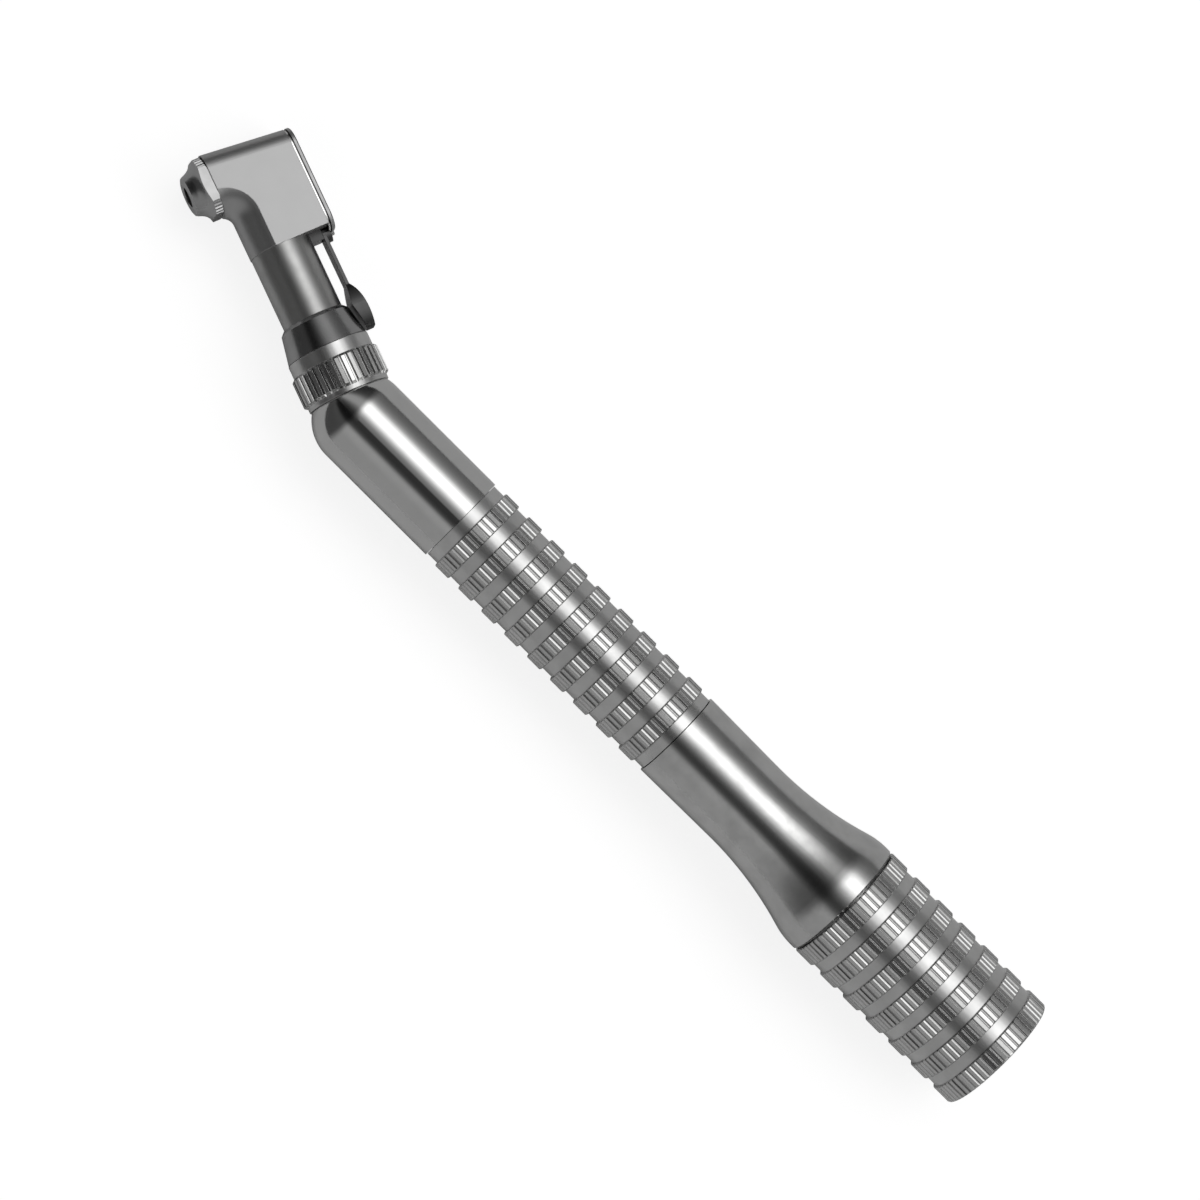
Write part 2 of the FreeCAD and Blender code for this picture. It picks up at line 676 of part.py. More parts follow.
def build_lever_pad():
    """Leaf-shaped thumb pad whose underside follows the conical collar."""
    start = size("lever_pad_start")
    end = size("lever_pad_end")
    length = start - end
    top = size("lever_pad_top")
    bar_top = size("lever_bar_top")
    bar_bottom = size("lever_bar_bottom")
    half = size("lever_pad_half_width")
    lip = size("lever_pad_lip")
    lip_radius = size("lock_ring_lip_radius")
    front_radius = size("collar_front_radius")
    slope = (lip_radius - front_radius) / (size("collar_end") - size("lock_ring_end"))
    under_end = lip_radius - slope * (end - size("lock_ring_end")) + size("lever_lift")
    under_front = front_radius + size("lever_lift")
    crest = Part.BSplineCurve()
    crest.interpolate([
        row_point(end + lip, -top),
        row_point(end + PAD_LEVEL_SHARE * length, -top),
        row_point(end + PAD_KNEE[0] * length, -top + PAD_KNEE[1] * (top - bar_top)),
        row_point(start, -bar_top),
    ])
    corners = [
        row_point(start, -bar_top),
        row_point(start, -bar_bottom),
        row_point(size("collar_end"), -under_front),
        row_point(end, -under_end),
        row_point(end, -top + lip),
        row_point(end + lip, -top),
    ]
    edges = [Part.LineSegment(a, b).toShape() for a, b in zip(corners, corners[1:])]
    face = Part.Face(Part.Wire([crest.toShape()] + edges))
    face.translate(FreeCAD.Vector(0, 0, -half))
    wedge = face.extrude(FreeCAD.Vector(0, 0, 2 * half))
    bar_half = size("lever_half_width")
    rim = Part.BSplineCurve()
    rim.interpolate([
        FreeCAD.Vector(start, 0, bar_half),
        FreeCAD.Vector(end + PAD_WIDEST_SHARE * length, 0, half),
        FreeCAD.Vector(end + PAD_TIP[0] * length, 0, PAD_TIP[1] * half),
        FreeCAD.Vector(end, 0, 0),
        FreeCAD.Vector(end + PAD_TIP[0] * length, 0, -PAD_TIP[1] * half),
        FreeCAD.Vector(end + PAD_WIDEST_SHARE * length, 0, -half),
        FreeCAD.Vector(start, 0, -bar_half),
    ])
    close = Part.LineSegment(FreeCAD.Vector(start, 0, -bar_half), FreeCAD.Vector(start, 0, bar_half))
    wire = Part.Wire([rim.toShape(), close.toShape()])
    leaf = Part.Face(wire)
    leaf.translate(FreeCAD.Vector(0, -2 * top, 0))
    return wedge.common(leaf.extrude(FreeCAD.Vector(0, 2 * top, 0)))


# Nose cap: screwed ring with four wrench flats and toothed corners
def build_nose_cap():
    face = size("head_nose_face")
    ring_end = face + size("cap_ring_length")
    radius = size("cap_radius")
    spigot = size("head_bore_radius") - size("seat_clearance")
    inner = size("head_bore_radius") - size("cap_wall")
    bevel = size("cap_ring_front_bevel")
    depth = size("cap_tooth_depth")
    hole = size("cap_hole_radius")
    floor = size("spindle_mouth") + size("cap_spindle_gap")
    outline = [
        row_point(inner, face - size("cap_spigot_length")),
        row_point(spigot, face - size("cap_spigot_length")),
        row_point(spigot, face),
        row_point(radius - size("cap_ring_back_bevel"), face),
        row_point(radius, face + size("cap_ring_back_land")),
        row_point(radius, ring_end - bevel),
        row_point(radius - bevel, ring_end),
    ]
    end = row_point(size("cap_face_radius"), size("cap_face"))
    hollow = (outline[-1] + end) * 0.5 - row_point(size("cap_hollow"), 0.5 * size("cap_hollow"))
    tail = [
        end,
        row_point(hole, size("cap_face")),
        row_point(hole, floor),
        row_point(inner, floor),
        outline[0],
    ]
    edges = [Part.LineSegment(a, b).toShape() for a, b in zip(outline, outline[1:])]
    edges.append(Part.Arc(outline[-1], hollow, end).toShape())
    edges += [Part.LineSegment(a, b).toShape() for a, b in zip(tail, tail[1:])]
    cap = Part.Face(Part.Wire(edges)).revolve(row_point(0), Y_AXIS, 360)
    teeth = int(size("cap_teeth"))
    half_tooth = size("cap_tooth_half_width")
    cutters = []
    for quarter in range(4):
        flat = Part.makeBox(radius, 2 * size("cap_ring_length"), 2 * radius,
                            row_point(size("cap_flat_distance"), face, -radius))
        flat.rotate(row_point(0), Y_AXIS, 90 * quarter)
        cutters.append(flat)
        for tooth in range(teeth):
            corners = [
                row_point(radius - depth, face, 0),
                row_point(radius + depth, face, 2 * half_tooth),
                row_point(radius + depth, face, -2 * half_tooth),
            ]
            notch = Part.Face(Part.makePolygon(corners + corners[:1]))
            notch = notch.extrude(FreeCAD.Vector(0, 2 * size("cap_ring_length"), 0))
            turn = 45 + 90 * quarter + (tooth - (teeth - 1) / 2) * size("cap_tooth_pitch")
            notch.rotate(row_point(0), Y_AXIS, turn)
            cutters.append(notch)
    solid_node("nose_cap", cap.cut(cutters), HEAD)


# Toothed pieces: radii from the pitch circle where a flank is worked out, in modules
OUTER_TOOTH_STEPS = (-1.25, -0.4, 0, 0.5, 0.9)
INNER_TOOTH_STEPS = (-0.85, 0, 1.2)


def spur_outline(teeth, internal=False):
    """Closed outline of an involute-like spur gear, tooth centred on angle zero."""
    module = size("gear_module")
    thin = size("gear_backlash") * (1 if internal else -1)
    pitch_radius = teeth * module / 2
    pressure = math.radians(size("gear_pressure_angle"))
    base_radius = pitch_radius * math.cos(pressure)
    steps = INNER_TOOTH_STEPS if internal else OUTER_TOOTH_STEPS
    radii = [pitch_radius + step * module for step in steps]

    def half_angle(radius):
        """Half the tooth angle at a radius; an internal gear's space has the tooth's form."""
        clipped = max(radius, base_radius)
        flank = math.acos(base_radius / clipped)
        at_pitch = math.pi / (2 * teeth) + thin / (2 * pitch_radius)
        return at_pitch + (math.tan(pressure) - pressure) - (math.tan(flank) - flank)

    points = []
    for tooth in range(teeth):
        centre = 2 * math.pi * tooth / teeth + (math.pi / teeth if internal else 0)
        for side, ladder in ((-1, radii), (1, radii[::-1])):
            for radius in ladder:
                angle = centre + side * half_angle(radius)
                points.append(FreeCAD.Vector(0, radius * math.cos(angle), radius * math.sin(angle)))
    return Part.makePolygon(points + points[:1])


def spur_solid(teeth, start, length, phase=0.0):
    gear = Part.Face(spur_outline(teeth)).extrude(FreeCAD.Vector(length, 0, 0))
    gear.rotate(row_point(0), X_AXIS, phase)
    gear.translate(row_point(start))
    return gear


def build_planet_stage():
    start = worked(GEAR_START)
    face = size("gear_face")
    module = size("gear_module")
    sun_teeth = int(size("sun_teeth"))
    planet_teeth = int(size("planet_teeth"))
    ring_teeth = sun_teeth + 2 * planet_teeth
    orbit = (sun_teeth + planet_teeth) * module / 2
    margin = size("ring_gear_margin")
    room = face + 2 * margin
    rim = cylinder(size("grip_bore_radius") - size("seat_clearance"), room, row_point(0))
    teeth = Part.Face(spur_outline(ring_teeth, internal=True)).extrude(FreeCAD.Vector(room, 0, 0))
    ring = rim.cut(teeth)
    ring.translate(row_point(start - margin))
    solid_node("ring_gear", ring)
    pin = size("planet_pin_radius")
    count = int(size("planets"))
    for index in range(count):
        turn = 360.0 * index / count
        planet = spur_solid(planet_teeth, 0, face, 180.0 / planet_teeth)
        planet = planet.cut(cylinder(pin + size("running_clearance"), face, row_point(0)))
        planet.translate(FreeCAD.Vector(start, orbit, 0))
        planet.rotate(row_point(0), X_AXIS, turn)
        solid_node(f"planet_gear_{index + 1}", planet)
    gap = size("planet_end_gap")
    plate_start = start + face + gap
    carrier = cylinder(size("carrier_radius"), size("carrier_thickness"), row_point(plate_start))
    shaft_end = worked(ELBOW) - size("crown_back")
    shaft = cylinder(size("drive_shaft_radius"), shaft_end - plate_start, row_point(plate_start))
    pins = []
    for index in range(count):
        peg = cylinder(pin, face + 2 * gap, FreeCAD.Vector(start - gap, orbit, 0))
        peg.rotate(row_point(0), X_AXIS, 360.0 * index / count)
        pins.append(peg)
    solid_node("planet_carrier", carrier.fuse([shaft] + pins))
    crown = crown_gear(size("crown_teeth"), 90 - size("neck_bend_angle") / 2, "crown", 0.0)
    crown.rotate(row_point(0), Z_AXIS, 180)
    crown.rotate(row_point(0), X_AXIS, size("side_roll_angle"))
    crown.translate(row_point(worked(ELBOW)))
    solid_node("drive_crown_gear", crown)


def crown_gear(teeth, pitch_angle, kind, phase):
    """Bevel gear about +x with its apex at the origin, teeth converging on the apex."""
    teeth = int(teeth)
    outer = size(kind + "_cone_length")
    inner = outer - size(kind + "_face")
    addendum = size(kind + "_addendum")
    dedendum = size("gear_dedendum_factor") * addendum
    back = size(kind + "_back")
    root_angle = math.radians(pitch_angle) - dedendum / outer
    tip_angle = math.radians(pitch_angle) + addendum / outer
    pitch_radius = outer * math.sin(math.radians(pitch_angle))
    half_pitch = math.pi * pitch_radius / (2 * teeth) - size("gear_backlash")
    lean = math.tan(math.radians(size("bevel_flank_angle")))
    root_half = (half_pitch + dedendum * lean) / outer
    tip_half = (half_pitch - addendum * lean) / outer
    sunk = root_angle - size("tooth_root_sink") / outer

    def cone_point(distance, angle):
        return FreeCAD.Vector(distance * math.cos(angle), distance * math.sin(angle), 0)

    blank = [
        FreeCAD.Vector(inner * math.cos(root_angle), 0, 0),
        cone_point(inner, root_angle),
        cone_point(outer, root_angle),
        FreeCAD.Vector(back, outer * math.sin(root_angle), 0),
        FreeCAD.Vector(back, 0, 0),
    ]
    gear = Part.Face(Part.makePolygon(blank + blank[:1])).revolve(row_point(0), X_AXIS, 360)

    def tooth_section(distance):
        corners = []
        for angle, half in ((sunk, root_half), (tip_angle, tip_half)):
            corners.append(cone_point(distance, angle) + FreeCAD.Vector(0, 0, half * distance))
            corners.append(cone_point(distance, angle) - FreeCAD.Vector(0, 0, half * distance))
        loop = [corners[0], corners[1], corners[3], corners[2]]
        return Part.makePolygon(loop + loop[:1])

    tooth = Part.makeLoft([tooth_section(inner), tooth_section(outer)], True, True)
    copies = []
    for index in range(teeth):
        copy = tooth.copy()
        copy.rotate(row_point(0), X_AXIS, phase + 360.0 * index / teeth)
        copies.append(copy)
    return gear.fuse(copies)


# Neck shaft: crown gear at the elbow, bevel gear in the head
def build_neck_shaft():
    start = "Sizes.crown_back"
    end = "(Sizes.bur_axis - Sizes.bevel_back)"
    radius = "Sizes.neck_shaft_radius"
    turned("neck_shaft", tube_profile(start, end, radius, "0"), NECK)
    crown_teeth = size("crown_teeth")
    crown = crown_gear(crown_teeth, 90 - size("neck_bend_angle") / 2, "crown", 180.0 / crown_teeth)
    solid_node("neck_crown_gear", crown, NECK)
    bevel = crown_gear(size("bevel_teeth"), 45, "bevel", 0.0)
    bevel.rotate(row_point(0), Z_AXIS, 180)
    solid_node("neck_bevel_gear", bevel, HEAD)


# Spindle: turns in the head and holds the bur
def build_spindle():
    radius = "Sizes.spindle_radius"
    tube = tube_profile("(0 - Sizes.spindle_top)", "Sizes.spindle_mouth", radius, "Sizes.bur_hole_radius")
    turned("spindle", [(across, along) for along, across in tube], HEAD, "V_Axis")
    teeth = size("bevel_teeth")
    gear = crown_gear(teeth, 45, "bevel", 180.0 / teeth)
    gear.rotate(row_point(0), Z_AXIS, -90)
    top = size("spindle_top")
    length = top + size("spindle_mouth")
    seat = cylinder(size("spindle_radius") + size("seat_clearance"), length, row_point(0, -top), Y_AXIS)
    solid_node("spindle_gear", gear.cut(seat), HEAD)


def bush(label, start, outer, shaft_radius, placement, axis="H_Axis", length_name="bush_length"):
    """Plain bearing bush: seated outside, with a running fit on its shaft."""
    end = f"({start} + Sizes.{length_name})"
    profile = tube_profile(start, end, f"{outer} - Sizes.seat_clearance",
                           f"{shaft_radius} + Sizes.running_clearance")
    if axis == "V_Axis":
        profile = [(radius, along) for along, radius in profile]
    turned(label, profile, placement, axis)


def build_bushes():
    shank = "Sizes.shank_bore_radius"
    neck = "Sizes.neck_bore_radius"
    drive = "Sizes.drive_shaft_radius"
    shaft = "Sizes.neck_shaft_radius"
    margin = "Sizes.bush_seat_margin"
    length = "Sizes.bush_length"
    bush("carrier_rear_bush", f"({SHANK_SPIGOT_START} + {margin})", shank, drive, ROW)
    bush("carrier_front_bush", f"({ELBOW} - Sizes.front_bush_setback - {length})", shank, drive, ROW)
    bush("neck_rear_bush", f"(Sizes.stub_start + {margin})", neck, shaft, NECK)
    bush("neck_front_bush", f"(Sizes.neck_end - {length})", neck, shaft, NECK)
    spindle = "Sizes.spindle_radius"
    bush("spindle_back_bush", "(Sizes.head_web - Sizes.head_back)", "Sizes.head_bore_radius",
         spindle, HEAD, "V_Axis", "spindle_bush_length")
    bush("spindle_nose_bush", f"(Sizes.head_nose_face - Sizes.cap_spigot_length + {margin})",
         "Sizes.head_bore_radius - Sizes.cap_wall", spindle, HEAD, "V_Axis")


# Input shaft: fork dog for the motor, sun gear at the front, two ball bearings
def build_input_shaft():
    start = worked(SPIGOT_START) + size("dog_room")
    dog_length = size("dog_length")
    dog_radius = size("dog_radius")
    slot_width = size("dog_slot")
    dog = cylinder(dog_radius, dog_length, row_point(start))
    slot = Part.makeBox(dog_length - size("dog_slot_floor"), 2 * dog_radius, slot_width,
                        row_point(start, -dog_radius, -slot_width / 2))
    sun_start = worked(GEAR_START)
    neck_length = size("sun_neck_length")
    shaft_start = start + size("dog_shaft_overlap")
    shaft_end = sun_start - neck_length + size("sun_neck_overlap")
    shaft = cylinder(size("input_shaft_radius"), shaft_end - shaft_start, row_point(shaft_start))
    core = size("gear_module") * (size("sun_teeth") / 2 - size("gear_dedendum_factor"))
    neck_down = cylinder(core, neck_length + size("sun_neck_overlap"), row_point(sun_start - neck_length))
    sun = spur_solid(int(size("sun_teeth")), sun_start, size("gear_face"))
    solid_node("input_shaft", dog.cut(slot).fuse([shaft.cut(slot), neck_down, sun]))


def build_ball_bearing(name, start, seat_radius):
    """Shielded bearing: an outer ring that reaches down as two shields, and an inner ring."""
    end = f"({start} + Sizes.bearing_width)"
    outer = f"({seat_radius} - Sizes.seat_clearance)"
    bore = "(Sizes.input_shaft_radius + Sizes.seat_clearance)"
    land = f"({bore} + Sizes.bearing_inner_wall)"
    lip = f"({land} + Sizes.running_clearance)"
    cavity = f"({outer} - Sizes.bearing_wall)"
    shield = "Sizes.bearing_shield"
    outer_ring = [
        (start, lip),
        (start, outer),
        (end, outer),
        (end, lip),
        (f"{end} - {shield}", lip),
        (f"{end} - {shield}", cavity),
        (f"{start} + {shield}", cavity),
        (f"{start} + {shield}", lip),
    ]
    turned(name + "_outer_ring", outer_ring)
    turned(name + "_inner_ring", tube_profile(start, end, land, bore))


build_rear_sleeve()
build_snap_ring()
build_waist_sleeve()
build_front_grip()
build_bent_shank()
build_lock_ring()
build_neck()
build_head_housing()
build_back_plates()
build_latch()
build_nose_cap()
build_planet_stage()
build_neck_shaft()
build_spindle()
build_bushes()
build_input_shaft()
build_ball_bearing("rear_bearing", "(Sizes.rear_length + Sizes.rear_bearing_room)",
                   "Sizes.waist_bore_radius")
build_ball_bearing("front_bearing", f"({GEAR_START} - Sizes.front_bearing_room)",
                   "Sizes.grip_bore_radius")

# Check every object, then write each sub-part to its own file
doc.recompute()
for item in doc.Objects:
    if "Invalid" in item.State or "Error" in item.State:
        raise ValueError(f"{item.Label} failed: {item.State}")
os.makedirs("parts", exist_ok=True)
for item in sub_parts:
    if item.Shape.isNull() or not item.Shape.isValid() or not item.Shape.Solids:
        raise ValueError(f"{item.Label} has no valid shape")
    item.Shape.exportStep(f"parts/{item.Label}.step")
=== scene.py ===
import math

import bmesh
import bpy
from mathutils import Matrix, Vector


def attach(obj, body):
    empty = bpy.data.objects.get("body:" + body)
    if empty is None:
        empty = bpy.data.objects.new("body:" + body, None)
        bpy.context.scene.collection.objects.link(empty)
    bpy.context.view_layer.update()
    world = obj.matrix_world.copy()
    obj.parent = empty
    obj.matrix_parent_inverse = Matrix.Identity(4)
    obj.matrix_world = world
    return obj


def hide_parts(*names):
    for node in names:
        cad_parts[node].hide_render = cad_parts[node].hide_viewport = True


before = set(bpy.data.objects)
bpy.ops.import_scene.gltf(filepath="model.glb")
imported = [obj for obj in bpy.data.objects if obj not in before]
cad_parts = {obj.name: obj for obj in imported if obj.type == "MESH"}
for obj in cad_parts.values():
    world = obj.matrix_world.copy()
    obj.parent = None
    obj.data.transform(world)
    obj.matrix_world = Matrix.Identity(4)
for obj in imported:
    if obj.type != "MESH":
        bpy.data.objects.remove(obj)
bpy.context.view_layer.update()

# Camera: the handpiece is seen from straight above as it lies on its side.
# Its rear end is at the lower right and its head at the upper left.
MM = 0.001
camera_data = bpy.data.cameras.new("camera")
camera_data.sensor_width = 36.0
camera_data.lens = 129.0
camera = bpy.data.objects.new("camera", camera_data)
bpy.context.scene.collection.objects.link(camera)
bpy.context.scene.camera = camera
eye = Vector((106.083, -16.815, 597.945)) * MM
image_right = Vector((-0.70775, -0.70634, 0.01282)).normalized()
image_up = Vector((0.70551, -0.70763, -0.03885)).normalized()
image_back = image_right.cross(image_up).normalized()
camera.matrix_world = Matrix((
    (image_right.x, image_up.x, image_back.x, eye.x),
    (image_right.y, image_up.y, image_back.y, eye.y),
    (image_right.z, image_up.z, image_back.z, eye.z),
    (0.0, 0.0, 0.0, 1.0),
))
bpy.context.scene.view_settings.view_transform = "Standard"


# Table: a pale matt board under the handpiece, which rests on its rear sleeve.
# It shines a little to the camera only, so that the ground comes out white.
def shader_node(tree, kind, **values):
    """Adds a shader node and sets its properties or its sockets by name."""
    made = tree.nodes.new(kind)
    for key, value in values.items():
        socket_name = key.replace("_", " ")
        if socket_name in made.inputs:
            made.inputs[socket_name].default_value = value
        else:
            setattr(made, key, value)
    return made


def grey(level):
    return (level, level, level, 1.0)


def set_ramp(ramp, stops):
    """Gives a colour ramp one grey stop for each (position, level)."""
    elements = ramp.color_ramp.elements
    elements.remove(elements[-1])
    for index, (position, level) in enumerate(stops):
        stop = elements[0] if index == 0 else elements.new(position)
        stop.position = position
        stop.color = grey(level)


TABLE_HEIGHT = -9.55 * MM
TABLE_REACH = 3.0
TABLE_GREY, TABLE_GLOW, GLOW_SHARE = 0.86, 1.52, 0.55
table_mesh = bpy.data.meshes.new("table")
corners = [(x * TABLE_REACH, y * TABLE_REACH, TABLE_HEIGHT)
           for x, y in ((-1, -1), (1, -1), (1, 1), (-1, 1))]
table_mesh.from_pydata(corners, [], [(0, 1, 2, 3)])
table = bpy.data.objects.new("table", table_mesh)
bpy.context.scene.collection.objects.link(table)
paint = bpy.data.materials.new("pale_table")
paint.use_nodes = True
tree = paint.node_tree
tree.nodes.clear()
board = shader_node(tree, "ShaderNodeBsdfDiffuse", Color=grey(TABLE_GREY))
glow = shader_node(tree, "ShaderNodeEmission", Color=grey(1.0), Strength=TABLE_GLOW)
ray = shader_node(tree, "ShaderNodeLightPath")
lift = shader_node(tree, "ShaderNodeMath", operation="MULTIPLY")
lift.inputs[1].default_value = GLOW_SHARE
both = shader_node(tree, "ShaderNodeMixShader")
result = shader_node(tree, "ShaderNodeOutputMaterial")
tree.links.new(ray.outputs["Is Camera Ray"], lift.inputs[0])
tree.links.new(lift.outputs[0], both.inputs[0])
tree.links.new(board.outputs[0], both.inputs[1])
tree.links.new(glow.outputs[0], both.inputs[2])
tree.links.new(both.outputs[0], result.inputs["Surface"])
table_mesh.materials.append(paint)

# Studio: a grey room whose brightness changes round the handle's axis, with a
# long bright panel over the -Y side, a dark card at the camera and a dim +X end.
ROOM_BANDS = (
    (-180, 0.4), (-54, 0.38), (-40, 0.44), (-32, 0.44), (-27, 0.3), (-22, 0.09), (-14, 0.04),
    (-7, 0.04), (-2, 0.09), (4, 0.2), (10, 0.45), (16, 0.85), (22, 1.6), (28, 2.1), (40, 2.1),
    (47, 1.35), (54, 0.6), (62, 0.32), (72, 0.2), (85, 0.15), (100, 0.13), (114, 0.25),
    (132, 0.38), (180, 0.4),
)
ROOM_STRENGTH = 2.2
END_WALL_SHARE = 0.2
world = bpy.data.worlds.new("studio")
bpy.context.scene.world = world
world.use_nodes = True
tree = world.node_tree
tree.nodes.clear()
direction = shader_node(tree, "ShaderNodeTexCoord")
parts = shader_node(tree, "ShaderNodeSeparateXYZ")
flip = shader_node(tree, "ShaderNodeMath", operation="MULTIPLY")
flip.inputs[1].default_value = -1.0
turn = shader_node(tree, "ShaderNodeMath", operation="ARCTAN2")
spread = shader_node(tree, "ShaderNodeMapRange", From_Min=-math.pi, From_Max=math.pi)
room = shader_node(tree, "ShaderNodeValToRGB")
set_ramp(room, [((angle + 180) / 360, level / ROOM_STRENGTH) for angle, level in ROOM_BANDS])
end_wall = shader_node(tree, "ShaderNodeMapRange", interpolation_type="SMOOTHSTEP",
                       From_Min=0.1, From_Max=0.4, To_Min=1.0, To_Max=END_WALL_SHARE)
strength = shader_node(tree, "ShaderNodeMath", operation="MULTIPLY")
strength.inputs[1].default_value = ROOM_STRENGTH
light = shader_node(tree, "ShaderNodeBackground")
result = shader_node(tree, "ShaderNodeOutputWorld")
tree.links.new(direction.outputs["Generated"], parts.inputs[0])
tree.links.new(parts.outputs["Y"], flip.inputs[0])
tree.links.new(flip.outputs[0], turn.inputs[0])
tree.links.new(parts.outputs["Z"], turn.inputs[1])
tree.links.new(turn.outputs[0], spread.inputs["Value"])
tree.links.new(spread.outputs[0], room.inputs[0])
tree.links.new(parts.outputs["X"], end_wall.inputs["Value"])
tree.links.new(end_wall.outputs[0], strength.inputs[0])
tree.links.new(room.outputs[0], light.inputs["Color"])
tree.links.new(strength.outputs[0], light.inputs["Strength"])
tree.links.new(light.outputs[0], result.inputs["Surface"])

# Rear sleeve: turned stainless steel with seven raised bands, each cut with
# fine straight flutes. It is pressed over the waist sleeve's rear spigot.
HANDLE_PLACE = Matrix.Identity(4)
# Painted shade: the grey of the dark lines painted where a slot or gap lies beside a plate.
GAP_SHADE_GREY = 0.12
FLOOR_EDGE, FLOOR_ROUGHER = 0.05, 0.1
# Painted shade: colour levels across a flute's depth, darker in the grooves where shade falls.
FLUTE_PAINTED_SHADE = ((0.0, 1.0), (0.3, 1.0), (0.4, 0.7), (0.8, 0.75), (0.95, 1.0))


def steel(name, colour, roughness, place=HANDLE_PLACE, lines=0.12, line_depth=0.15, edge=0.05,
          band=None, stain=0.1, gap_shades=()):
    """Machined steel with turning lines round its axis, faint stains and softened edges.

    lines is the spacing of the turning lines in mm. band is the floor and land
    radius of a fluted band in mm: the floor is blasted matt, and the flutes
    between the two get painted shade, their colour darkened where shade falls in them.
    The last argument holds painted shade lines where a slot or a gap lies beside
    the part, each from one distance to another across the axis in mm.
    """
    made = bpy.data.materials.new(name)
    made.use_nodes = True
    tree = made.node_tree
    tree.nodes.clear()
    link = tree.links.new
    shader = shader_node(tree, "ShaderNodeBsdfPrincipled", Metallic=1.0)
    result = shader_node(tree, "ShaderNodeOutputMaterial")
    link(shader.outputs[0], result.inputs["Surface"])
    axis = place.to_3x3() @ Vector((1, 0, 0))
    origin = place.to_translation()
    where = shader_node(tree, "ShaderNodeTexCoord")
    offset = shader_node(tree, "ShaderNodeVectorMath", operation="SUBTRACT")
    offset.inputs[1].default_value = origin
    link(where.outputs["Object"], offset.inputs[0])

    along = shader_node(tree, "ShaderNodeVectorMath", operation="DOT_PRODUCT")
    along.inputs[1].default_value = axis
    link(offset.outputs[0], along.inputs[0])
    turning = shader_node(tree, "ShaderNodeTexNoise", noise_dimensions="1D",
                          Scale=1 / (lines * MM), Detail=4.0)
    link(along.outputs["Value"], turning.inputs["W"])
    stains = shader_node(tree, "ShaderNodeTexNoise", Scale=260.0, Detail=6.0, Roughness=0.6)
    link(offset.outputs[0], stains.inputs["Vector"])
    grain = shader_node(tree, "ShaderNodeTexNoise", Scale=9000.0, Detail=2.0)
    link(offset.outputs[0], grain.inputs["Vector"])

    tint = shader_node(tree, "ShaderNodeValToRGB")
    dark, pale = tint.color_ramp.elements
    dark.position, pale.position = 0.35, 0.6
    dark.color = (*[channel * (1 - stain) for channel in colour], 1.0)
    pale.color = (*colour, 1.0)
    link(stains.outputs[0], tint.inputs[0])
    surface = tint.outputs[0]
    if gap_shades:
        beside = shader_node(tree, "ShaderNodeVectorMath", operation="DOT_PRODUCT")
        beside.inputs[1].default_value = place.to_3x3() @ Vector((0, -1, 0))
        link(offset.outputs[0], beside.inputs[0])
    # Each painted shade line darkens the colour across a slot or gap beside the part.
    for start, end in gap_shades:
        gap_line = shader_node(tree, "ShaderNodeMath", operation="COMPARE")
        gap_line.inputs[1].default_value = (start + end) / 2 * MM
        gap_line.inputs[2].default_value = (end - start) / 2 * MM
        link(beside.outputs["Value"], gap_line.inputs[0])
        shaded = shader_node(tree, "ShaderNodeMix", data_type="RGBA", blend_type="MULTIPLY")
        shaded.inputs[7].default_value = grey(GAP_SHADE_GREY)
        link(gap_line.outputs[0], shaded.inputs[0])
        link(surface, shaded.inputs[6])
        surface = shaded.outputs[2]

    dull = shader_node(tree, "ShaderNodeMapRange", From_Min=0.3, From_Max=0.7,
                       To_Min=roughness * (1 + stain), To_Max=roughness * (1 - stain))
    link(stains.outputs[0], dull.inputs["Value"])
    finish = dull.outputs[0]
    if band:
        floor, land = band
        across = shader_node(tree, "ShaderNodeVectorMath", operation="CROSS_PRODUCT")
        across.inputs[1].default_value = axis
        link(offset.outputs[0], across.inputs[0])
        radius = shader_node(tree, "ShaderNodeVectorMath", operation="LENGTH")
        link(across.outputs[0], radius.inputs[0])
        blasted = shader_node(tree, "ShaderNodeMapRange", From_Min=(floor + FLOOR_EDGE) * MM,
                              From_Max=floor * MM, To_Min=0.0, To_Max=FLOOR_ROUGHER)
        link(radius.outputs["Value"], blasted.inputs["Value"])
        matt = shader_node(tree, "ShaderNodeMath", operation="ADD")
        link(finish, matt.inputs[0])
        link(blasted.outputs[0], matt.inputs[1])
        finish = matt.outputs[0]
        # Painted shade: the flutes' colour is darkened between the floor and land radius.
        depth = shader_node(tree, "ShaderNodeMapRange", From_Min=floor * MM, From_Max=land * MM)
        link(radius.outputs["Value"], depth.inputs["Value"])
        flute_shade_ramp = shader_node(tree, "ShaderNodeValToRGB")
        set_ramp(flute_shade_ramp, FLUTE_PAINTED_SHADE)
        link(depth.outputs[0], flute_shade_ramp.inputs[0])
        flute_shaded = shader_node(tree, "ShaderNodeMix", data_type="RGBA", blend_type="MULTIPLY")
        flute_shaded.inputs[0].default_value = 1.0
        link(surface, flute_shaded.inputs[6])
        link(flute_shade_ramp.outputs[0], flute_shaded.inputs[7])
        surface = flute_shaded.outputs[2]
    link(surface, shader.inputs["Base Color"])
    link(finish, shader.inputs["Roughness"])

    softened = shader_node(tree, "ShaderNodeBevel", samples=4, Radius=edge * MM)
    relief = shader_node(tree, "ShaderNodeMath", operation="ADD")
    link(turning.outputs[0], relief.inputs[0])
    link(grain.outputs[0], relief.inputs[1])
    bump = shader_node(tree, "ShaderNodeBump", Strength=line_depth, Distance=0.01 * MM)
    link(relief.outputs[0], bump.inputs["Height"])
    link(softened.outputs[0], bump.inputs["Normal"])
    link(bump.outputs[0], shader.inputs["Normal"])
    return made


